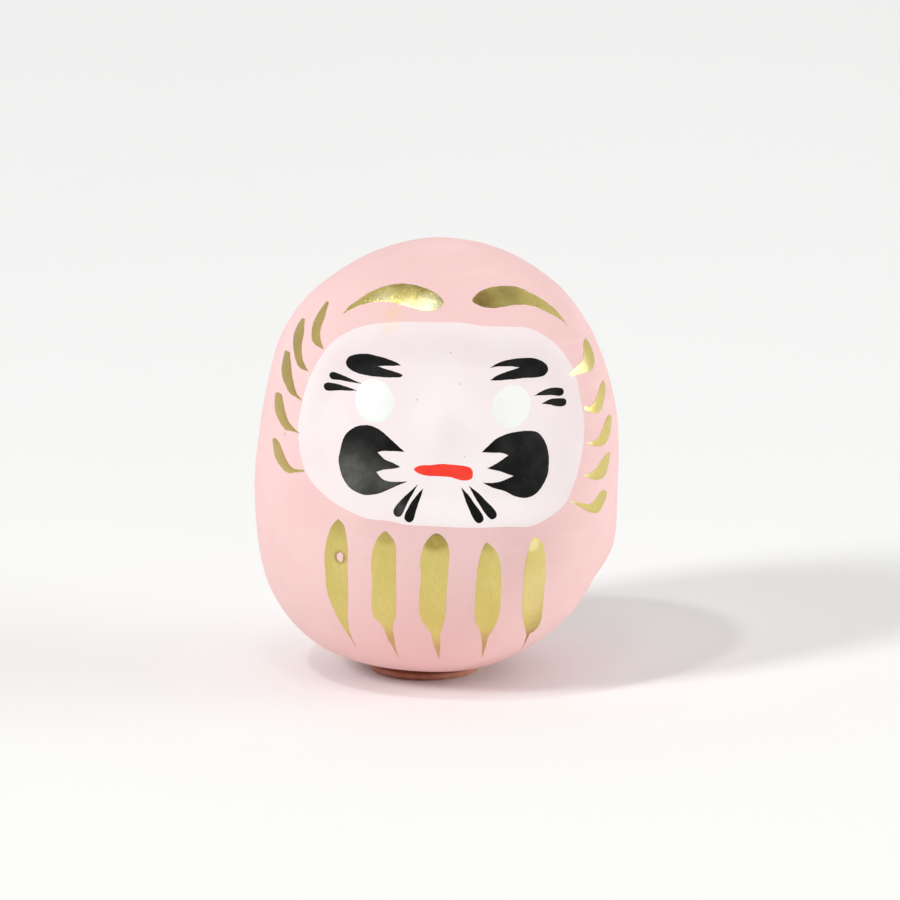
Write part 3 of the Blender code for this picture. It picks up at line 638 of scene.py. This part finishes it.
class Nodes:
    """Short calls for the nodes of one material."""

    def __init__(self, name, roughness, metallic=0.0):
        self.material = bpy.data.materials.new(name)
        self.material.use_nodes = True
        self.tree = self.material.node_tree
        self.shader = self.tree.nodes["Principled BSDF"]
        self.shader.inputs["Roughness"].default_value = roughness
        self.shader.inputs["Metallic"].default_value = metallic
        self.place = self.tree.nodes.new("ShaderNodeTexCoord").outputs["Object"]

    def link(self, value, socket):
        """Feeds a socket from another node's output, or sets it to a number or colour."""
        if hasattr(value, "links"):
            self.tree.links.new(value, socket)
        else:
            socket.default_value = value

    def noise(self, scale, detail=3.0, roughness=0.55, distortion=0.0, stretch=None):
        """Noise whose lumps are about 1 / scale metres across."""
        node = self.tree.nodes.new("ShaderNodeTexNoise")
        place = self.place
        if stretch:
            mapping = self.tree.nodes.new("ShaderNodeMapping")
            mapping.inputs["Scale"].default_value = stretch
            self.link(place, mapping.inputs["Vector"])
            place = mapping.outputs["Vector"]
        self.link(place, node.inputs["Vector"])
        node.inputs["Scale"].default_value = scale
        node.inputs["Detail"].default_value = detail
        node.inputs["Roughness"].default_value = roughness
        node.inputs["Distortion"].default_value = distortion
        return node.outputs["Fac"]

    def spread(self, value, low, high, to_low=0.0, to_high=1.0):
        """The value moved from the range low to high into to_low to to_high, and held there."""
        node = self.tree.nodes.new("ShaderNodeMapRange")
        node.interpolation_type = "SMOOTHSTEP"
        self.link(value, node.inputs["Value"])
        for socket, number in zip(("From Min", "From Max", "To Min", "To Max"),
                                  (low, high, to_low, to_high)):
            node.inputs[socket].default_value = number
        return node.outputs["Result"]

    def times(self, a, b):
        node = self.tree.nodes.new("ShaderNodeMath")
        node.operation = "MULTIPLY"
        self.link(a, node.inputs[0])
        self.link(b, node.inputs[1])
        return node.outputs["Value"]

    def mix(self, share, first, second):
        """First colour to second colour by share."""
        node = self.tree.nodes.new("ShaderNodeMix")
        node.data_type = "RGBA"
        colours = [socket for socket in node.inputs if socket.type == "RGBA"]
        for socket, colour in zip(colours, (first, second)):
            self.link((*colour, 1.0) if isinstance(colour, tuple) else colour, socket)
        self.link(share, node.inputs["Factor"])
        return next(socket for socket in node.outputs if socket.type == "RGBA")

    def spot(self, centre, radius, soft=1.0):
        """1 at a point of the doll in millimetres, falling to 0 at a radius."""
        node = self.tree.nodes.new("ShaderNodeVectorMath")
        node.operation = "DISTANCE"
        self.link(self.place, node.inputs[0])
        node.inputs[1].default_value = [number * MM for number in centre]
        return self.spread(node.outputs["Value"], radius * (1 - soft) * MM, radius * MM, 1.0, 0.0)

    def bump(self, height, depth, strength=1.0, below=None):
        """A bump whose full height is depth millimetres."""
        node = self.tree.nodes.new("ShaderNodeBump")
        node.inputs["Strength"].default_value = strength
        node.inputs["Distance"].default_value = depth * MM
        self.link(height, node.inputs["Height"])
        if below is not None:
            self.link(below, node.inputs["Normal"])
        return node.outputs["Normal"]

    def finish(self, colour, roughness=None, normal=None):
        """The material, with its shader fed by what it was given."""
        self.link(colour, self.shader.inputs["Base Color"])
        if roughness is not None:
            self.link(roughness, self.shader.inputs["Roughness"])
        if normal is not None:
            self.link(normal, self.shader.inputs["Normal"])
        return self.material


def on_surface(x, z):
    """The point of the surface straight behind (x, z), for a spot on the paint."""
    return tuple(surface(*place_front(np.array([x]), np.array([z])))[0])


def pink_paint():
    """Matte distemper over paper: faint clouds, brushed-out streaks, and a few handling marks.
    It is a warmer pink towards the foot as painted bounce light, and has an orange stain over the
    hood."""
    made = Nodes("pink_paint", 0.68)
    made.shader.inputs["Specular IOR Level"].default_value = 0.35
    clouds = made.spread(made.noise(55, 4), 0.35, 0.7)
    colour = made.mix(clouds, (0.880, 0.578, 0.568), (0.912, 0.620, 0.611))
    streaks = made.noise(110, 4, 0.6, 0.3, stretch=(0.6, 0.6, 3.0))
    streaks = made.spread(streaks, 0.5, 0.75, 0.0, 0.5)
    colour = made.mix(streaks, colour, (0.925, 0.650, 0.622))
    grain = made.spread(made.noise(900, 4, 0.6), 0.45, 0.75, 0.0, 0.22)
    colour = made.mix(grain, colour, (0.922, 0.645, 0.632))
    smudges = ((-24.5, 23.0, 0.9, 0.25), (-22.0, 16.5, 2.2, 0.16), (-18.5, 14.0, 2.6, 0.12),
               (-12.6, 28.2, 0.9, 0.15), (-27.5, 47.9, 0.5, 0.9), (-27.3, 47.1, 0.4, 0.9),
               (14.5, 30.5, 0.8, 0.12), (24.8, 12.0, 1.6, 0.10))  # x, z, radius and share
    for x, z, radius, share in smudges:
        smudge = made.times(made.spot(on_surface(x, z), radius),
                            made.spread(made.noise(1500, 3), 0.4, 0.65, 0.0, share))
        colour = made.mix(smudge, colour, (0.45, 0.20, 0.13))
    # Painted bounce light: a warmer pink towards the foot stands in for red light bounced up under
    # the body.
    painted_bounce_foot = made.times(made.spot(on_surface(-2.0, 9.0), 27.0), 0.9)
    colour = made.mix(painted_bounce_foot, colour, (0.985, 0.590, 0.578))
    stain = made.times(made.spot(on_surface(-8.2, 70.4), 3.4),
                       made.spread(made.noise(420, 2), 0.3, 0.6, 0.1, 0.8))
    colour = made.mix(stain, colour, (0.93, 0.58, 0.36))
    roughness = made.spread(made.noise(240, 3), 0.3, 0.7, 0.62, 0.76)
    normal = made.bump(made.noise(420, 4, 0.6), 0.05, 0.55)
    normal = made.bump(made.noise(3200, 3, 0.6), 0.012, 0.5, normal)
    return made.finish(colour, roughness, normal)


def face_paint():
    """Chalky white with a breath of pink, lighter low down as painted light, with a stain at the
    hood, a few specks and a smear at the left edge."""
    made = Nodes("face_paint", 0.66)
    made.shader.inputs["Specular IOR Level"].default_value = 0.35
    clouds = made.spread(made.noise(70, 3), 0.35, 0.7)
    colour = made.mix(clouds, (0.897, 0.780, 0.788), (0.922, 0.814, 0.818))
    # Painted light: the lower face is lighter where its slope turns up towards the lamps.
    painted_light_low = made.times(made.spot(on_surface(5.0, 41.0), 27.0), 0.95)
    colour = made.mix(painted_light_low, colour, (0.985, 0.910, 0.914))
    stain = made.times(made.spot(on_surface(-8.6, 69.0), 2.6),
                       made.spread(made.noise(420, 2), 0.3, 0.6, 0.1, 0.8))
    colour = made.mix(stain, colour, (0.95, 0.74, 0.52))
    specks = ((2.5, 64.8, 0.22), (4.2, 59.6, 0.25), (-3.6, 57.0, 0.24), (5.0, 47.3, 0.2))
    for x, z, radius in specks:
        speck = made.times(made.spot(on_surface(x, z), radius, 0.6), 0.5)
        colour = made.mix(speck, colour, (0.35, 0.28, 0.27))
    smear = made.times(made.spot(on_surface(-23.3, 53.3), 0.9),
                       made.spread(made.noise(1500, 3), 0.45, 0.7, 0.0, 0.3))
    colour = made.mix(smear, colour, (0.45, 0.40, 0.45))
    roughness = made.spread(made.noise(260, 3), 0.3, 0.7, 0.6, 0.74)
    normal = made.bump(made.noise(380, 4, 0.6), 0.04, 0.5)
    normal = made.bump(made.noise(2800, 3, 0.6), 0.01, 0.5, normal)
    return made.finish(colour, roughness, normal)


def white_paint():
    """A thicker, cleaner white for the blank eyes."""
    made = Nodes("eye_white", 0.5)
    clouds = made.spread(made.noise(350, 2), 0.35, 0.65)
    colour = made.mix(clouds, (0.890, 0.902, 0.888), (0.912, 0.920, 0.908))
    normal = made.bump(made.noise(700, 3), 0.03, 0.4)
    return made.finish(colour, made.spread(made.noise(300, 2), 0.3, 0.7, 0.42, 0.58), normal)


def black_ink(name, sheen_places=()):
    """Brushed ink, black, with grey patches of painted sheen where light glances off the gloss. A
    sheen place is x, z, a radius and a share."""
    made = Nodes(name, 0.5)
    made.shader.inputs["Specular IOR Level"].default_value = 0.1
    brushed = made.spread(made.noise(300, 4, 0.6, 0.4), 0.4, 0.75)
    colour = made.mix(brushed, (0.0055, 0.0050, 0.0050), (0.014, 0.013, 0.0128))
    # Painted sheen: each grey patch stands in for light reflected off the glossy ink.
    for x, z, radius, share in sheen_places:
        patchy = made.spread(made.noise(520, 4, 0.65, 0.5), 0.3, 0.7, 0.6 * share, share)
        thin = made.times(made.spot(on_surface(x, z), radius), patchy)
        colour = made.mix(thin, colour, (0.125, 0.125, 0.118))
    flecks = made.spread(made.noise(2600, 2, 0.5), 0.66, 0.76, 0.0, 0.12)
    colour = made.mix(flecks, colour, (0.16, 0.16, 0.155))
    roughness = made.spread(made.noise(420, 3), 0.3, 0.7, 0.42, 0.6)
    normal = made.bump(made.noise(900, 4, 0.6), 0.03, 0.5)
    return made.finish(colour, roughness, normal)


def red_paint():
    """Flat vermilion with the faintest clouds."""
    made = Nodes("red_paint", 0.5)
    made.shader.inputs["Specular IOR Level"].default_value = 0.25
    clouds = made.spread(made.noise(380, 3), 0.35, 0.7)
    colour = made.mix(clouds, (0.97, 0.045, 0.026), (1.0, 0.064, 0.037))
    normal = made.bump(made.noise(800, 3), 0.03, 0.5)
    return made.finish(colour, made.spread(made.noise(500, 2), 0.3, 0.7, 0.38, 0.52), normal)


def gold_paint(name, crinkle, roughness, metal, tones=()):
    """Metal powder paint with brush grain down it, and clouds between two colours of metal.
    Each tone is a place (x, z), a radius, how soft its edge is, a colour and a share. Most
    tones are painted highlights and painted shade."""
    made = Nodes(name, roughness, 1.0)
    clouds = made.spread(made.noise(160, 3), 0.35, 0.7)
    colour = made.mix(clouds, *metal)
    brushed = (1.0, 1.0, 0.12)
    grain = made.spread(made.noise(2600, 3, 0.6, stretch=brushed), 0.4, 0.75, 0.0, 0.3)
    colour = made.mix(grain, colour, (0.56, 0.43, 0.13))
    for x, z, radius, soft, tone, share in tones:
        patch = made.times(made.spot(on_surface(x, z), radius, soft),
                           made.spread(made.noise(1100, 3), 0.25, 0.6, 0.7 * share, share))
        colour = made.mix(patch, colour, tone)
    rough = made.spread(made.noise(600, 4, 0.6), 0.3, 0.7, roughness - 0.05, roughness + 0.08)
    normal = made.bump(made.noise(1500, 5, 0.7, 1.4, stretch=(1.0, 1.0, 0.6)), crinkle, 0.9)
    normal = made.bump(made.noise(2600, 3, 0.6, stretch=brushed), 0.008, 0.8, normal)
    return made.finish(colour, rough, normal)


def clay_look():
    """Dry brown clay with a coarse skin."""
    made = Nodes("clay", 0.9)
    clouds = made.spread(made.noise(180, 5, 0.65), 0.3, 0.7)
    colour = made.mix(clouds, (0.30, 0.165, 0.10), (0.42, 0.25, 0.16))
    normal = made.bump(made.noise(500, 5, 0.65), 0.2, 0.8)
    return made.finish(colour, made.spread(made.noise(300, 2), 0.3, 0.7, 0.8, 0.95), normal)


def board_look():
    """Reddish pressed board with pale fibres running one way."""
    made = Nodes("base_board", 0.85)
    clouds = made.spread(made.noise(260, 4, 0.6), 0.3, 0.7)
    colour = made.mix(clouds, (0.62, 0.250, 0.165), (0.76, 0.345, 0.225))
    along = (1.0, 4.0, 1.0)
    fibre = made.spread(made.noise(900, 4, 0.7, 0.6, stretch=along), 0.5, 0.8, 0.0, 0.4)
    colour = made.mix(fibre, colour, (0.78, 0.46, 0.31))
    normal = made.bump(made.noise(900, 5, 0.7, 0.5, stretch=along), 0.06, 0.7)
    return made.finish(colour, made.spread(made.noise(500, 2), 0.3, 0.7, 0.78, 0.92), normal)


def floor_look():
    """A plain pale floor."""
    made = Nodes("studio_floor", 0.9)
    made.shader.inputs["Specular IOR Level"].default_value = 0.1
    clouds = made.spread(made.noise(3, 2), 0.3, 0.7)
    return made.finish(made.mix(clouds, (0.905, 0.905, 0.90), (0.92, 0.92, 0.915)))


# The doll

def paint_face():
    """The face's coat, and the marks on it."""
    # Painted sheen: grey patches stand in for light glancing off the glossy ink of the whiskers
    # and a chin stroke.
    ink = black_ink("black_ink", [(12.5, 48.0, 3.2, 0.12)])
    sheen_ink = black_ink("thin_black_ink", [(-15.4, 43.0, 8.0, 1.0), (-9.5, 44.0, 4.5, 0.5),
                                            (-8.5, 41.5, 4.0, 0.6), (-6.5, 37.8, 2.4, 0.5)])
    white = white_paint()
    film("face_paint", FACE_CURVE, place_front, FACE_COAT, 0.7, face_paint(), "face_paint",
         "face_coat", edge_width=0.4)

    def mark(name, outline, look, slot, node):
        curve = rough_edge(closed_curve(outline, 0.16), 0.03, 1.1, name)
        film(name, curve, place_front, FACE_MARK, 0.32, look, slot, node)

    mark("red_mouth", MOUTH, red_paint(), "red_paint", "mouth")
    for side, size in EYES.items():
        mark(f"white_eye_{side}", ellipse(*size), white, "white_paint", f"eye_white_{side}")
    for side, outline in BLACK_BROWS.items():
        mark(f"ink_brow_{side}", outline, ink, "black_ink", f"black_brow_{side}")
    for side, look in (("left", sheen_ink), ("right", ink)):
        mark(f"ink_whisker_{side}", WHISKERS[side], look, "black_ink", f"whisker_{side}")
    for place, stations in LASHES.items():
        mark(f"ink_lash_{place}", stroke_outline(stations), ink, "black_ink", f"lash_{place}")
    for place, stations in CHIN_STROKES.items():
        look = sheen_ink if place == "left_outer" else ink
        mark(f"ink_chin_{place}", stroke_outline(stations), look, "black_ink",
             f"chin_stroke_{place}")


def paint_gold():
    """The gold brows, the beard strokes and the side strokes."""
    metal = ((0.695, 0.575, 0.180), (0.735, 0.610, 0.215))
    # Painted shade: a darker copy of the gold for the left side strokes.
    shaded_metal = ((0.58, 0.435, 0.150), (0.67, 0.515, 0.190))
    dark, brown, rust = (0.27, 0.19, 0.055), (0.36, 0.22, 0.06), (0.30, 0.13, 0.06)
    shade, thin = (0.42, 0.32, 0.08), (0.60, 0.33, 0.17)
    cream, bright, white = (0.83, 0.75, 0.38), (0.95, 0.86, 0.46), (1.0, 0.94, 0.62)
    # Painted reflections: dark patches and bright highlights on the brows stand in for what the
    # gold reflects.
    left_brow_reflections = [(-6.5, 75.6, 2.6, 0.8, dark, 0.6), (-11.0, 75.0, 1.8, 0.8, dark, 0.4),
                 (-3.2, 75.2, 2.6, 0.9, dark, 0.6), (-9.8, 72.8, 3.2, 0.9, bright, 0.9),
                 (-5.2, 72.2, 2.6, 0.9, bright, 0.8), (-1.4, 72.4, 3.8, 0.9, white, 1.0)]
    right_brow_reflections = [(8.0, 73.0, 4.2, 0.9, brown, 0.85), (12.5, 74.0, 5.0, 0.9, dark, 0.5)]
    # Painted reflections: darker tops and a bright tip on the beard strokes stand in for what the
    # gold reflects.
    beard_top_reflections = [(-0.3, 33.8, 4.2, 0.4, shade, 0.9), (-9.2, 34.2, 3.6, 0.4, shade, 0.6),
                  (9.3, 31.8, 2.6, 0.6, shade, 0.6), (-17.8, 34.5, 4.0, 0.9, shade, 0.5),
                  (17.2, 30.4, 2.0, 0.7, bright, 0.7)]
    chip_edge = [(CHIP[0], CHIP[1], 1.7, 0.7, rust, 0.8)]
    beard_tips = [(-14.9, 9.8, 4.6, 0.8, thin, 0.8), (-7.9, 11.2, 5.6, 0.8, thin, 0.8),
                  (0.3, 9.8, 4.8, 0.8, thin, 0.8), (8.5, 10.6, 5.4, 0.8, thin, 0.9),
                  (16.2, 10.0, 4.2, 0.6, thin, 1.0)]
    # Painted highlights: pale patches on the last beard stroke and the right side strokes.
    right_side_highlights = [(18.2, 21.5, 9.5, 0.8, bright, 0.3), (26.0, 60.0, 4.2, 0.8, cream, 1.0),
                  (26.4, 52.8, 2.8, 0.8, cream, 1.0), (27.0, 46.6, 2.6, 0.9, white, 0.9),
                  (26.4, 41.1, 2.6, 0.9, white, 0.9), (24.0, 36.9, 2.6, 0.9, white, 0.9)]
    leaf = {"left": gold_paint("crinkled_gold", 0.09, 0.24, metal, left_brow_reflections),
            "right": gold_paint("smooth_gold", 0.05, 0.28, metal, right_brow_reflections)}
    satin = gold_paint("gold_satin", 0.02, 0.36, metal,
                       beard_top_reflections + chip_edge + beard_tips + right_side_highlights)
    shaded_copy = gold_paint("browned_gold", 0.03, 0.34, shaded_metal)

    def gold(name, outline, place, heights, look, node, holes=()):
        curve = rough_edge(closed_curve(outline, 0.2), 0.035, 0.9, name)
        film(name, curve, place, heights, 0.38, look, "gold_paint", node, holes)

    for side, outline in GOLD_BROWS.items():
        gold(f"leaf_brow_{side}", outline, place_front, SKIN_MARK, leaf[side], f"gold_brow_{side}")
    for number, outline in enumerate(BEARD, 1):
        holes = ()
        if number == 1:
            holes = (rough_edge(closed_curve(ellipse(*CHIP), 0.15), 0.09, 0.8, "chip"),)
        gold(f"gold_beard_{number}", outline, place_front, SKIN_MARK, satin,
             f"beard_stroke_{number}", holes)
    per_degree = math.radians(HALF_WIDTH)
    for side, strokes in SIDE_STROKES.items():
        for number, outline in enumerate(strokes, 1):
            unrolled = [(azimuth * per_degree, *rest) for azimuth, *rest in outline]
            # The left side strokes take the darker copy of the gold, as painted shade.
            gold(f"gold_side_{side}_{number}", unrolled, place_side, SIDE_MARK,
                 shaded_copy if side == "left" else satin, f"side_stroke_{side}_{number}")


def make_foot():
    """The clay in the foot, and the disc under it, each inside its CAD solid's outline."""
    clay = [(0.0, 2.1), (5.2, 2.1), (5.4, 3.4), (5.6, 4.6), (9.5, 4.7), (13.4, 5.9),
            (15.6, 7.4), (16.1, 9.0), (15.2, 10.8), (12.6, 12.6), (9.0, 13.9), (4.5, 14.8),
            (0.0, 15.1)]
    turned("clay_lump", clay, 0.0, 96, clay_look(), "clay", "clay_weight", 0.012)
    low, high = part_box("base_disc")
    x = (low.x + high.x) / 2 / MM
    radius = (high.x - low.x) / 2 / MM
    top = high.z / MM - DISC_SHRINK
    rim = [(0.0, 0.0), (radius - 1.2, 0.0), (radius - 0.35, 0.02), (radius - 0.1, 0.14),
           (radius, 0.4), (radius, top - 0.4), (radius - 0.1, top - 0.14),
           (radius - 0.35, top), (0.0, top)]
    turned("board_disc", rim, x, 160, board_look(), "base_board", "base_disc", 0.004)


# The studio

# A long lens far away. FRAMING is how far the view's middle lies right of and above the aim.
PITCH = math.radians(14.0)
AIM = Vector((0, 0, MIDDLE)) * MM
DISTANCE = 2.54
LENS = 556.7
FRAMING = (2.37 * MM, 2.83 * MM)


def make_camera():
    """The camera, which looks down on the doll from its front."""
    data = bpy.data.cameras.new("camera")
    data.lens = LENS
    data.sensor_width = 36.0
    data.clip_start = 0.05
    data.clip_end = 50.0
    camera = bpy.data.objects.new("camera", data)
    back = Vector((0, -math.cos(PITCH), math.sin(PITCH)))
    upward = Vector((0, math.sin(PITCH), math.cos(PITCH)))
    camera.location = AIM + back * DISTANCE + Vector((FRAMING[0], 0, 0)) + upward * FRAMING[1]
    camera.rotation_euler = (math.radians(90) - PITCH, 0, 0)
    bpy.context.scene.collection.objects.link(camera)
    bpy.context.scene.camera = camera


def softbox(name, azimuth, elevation, distance, size, watts, colour=(1, 1, 1)):
    """An area light that faces the doll, with its distance and size in metres. Azimuth is 0 at
    the front and grows towards +X."""
    data = bpy.data.lights.new(name, "AREA")
    data.shape = "RECTANGLE"
    data.size, data.size_y = size
    data.energy = watts
    data.color = colour
    light = bpy.data.objects.new(name, data)
    turn, rise = math.radians(azimuth), math.radians(elevation)
    outward = Vector((math.cos(rise) * math.sin(turn), -math.cos(rise) * math.cos(turn),
                      math.sin(rise)))
    light.location = AIM + outward * distance
    light.rotation_euler = outward.to_track_quat("Z", "Y").to_euler()
    bpy.context.scene.collection.objects.link(light)


def make_studio():
    """The floor, the lights, and a room that is bright behind the doll and dark in front."""
    floor = bpy.data.meshes.new("studio_floor")
    half = 6.0
    floor.from_pydata([(-half, -half, 0), (half, -half, 0), (half, half, 0), (-half, half, 0)],
                      [], [(0, 1, 2, 3)])
    floor.materials.append(floor_look())
    stage = bpy.data.objects.new("studio_floor", floor)
    bpy.context.scene.collection.objects.link(stage)
    softbox("key", -49, 60, 4.5, (0.27, 0.27), 28.5, (1.0, 0.99, 0.97))
    softbox("window", -56, 34, 4.5, (0.75, 1.05), 92.5, (0.98, 0.99, 1.0))
    softbox("right_wall", 84, 16, 3.0, (2.4, 1.4), 44.0)
    softbox("front_wall", 5, 45, 3.0, (2.0, 1.6), 8.5)
    softbox("ceiling", -8, 66, 3.0, (0.5, 0.3), 4.0)
    world = bpy.data.worlds.new("studio")
    world.use_nodes = True
    tree = world.node_tree
    place = tree.nodes.new("ShaderNodeTexCoord")
    axes = tree.nodes.new("ShaderNodeSeparateXYZ")
    room = tree.nodes.new("ShaderNodeMapRange")
    for socket, number in (("From Min", -0.9), ("From Max", 0.4), ("To Min", 0.0),
                           ("To Max", 0.71)):
        room.inputs[socket].default_value = number
    background = tree.nodes["Background"]
    background.inputs["Color"].default_value = (1.0, 1.0, 0.99, 1.0)
    tree.links.new(place.outputs["Generated"], axes.inputs["Vector"])
    tree.links.new(axes.outputs["Y"], room.inputs["Value"])
    tree.links.new(room.outputs["Result"], background.inputs["Strength"])
    bpy.context.scene.world = world
    bpy.context.scene.view_settings.view_transform = "Standard"


make_camera()
body_shell(pink_paint())
paint_face()
paint_gold()
make_foot()
make_studio()
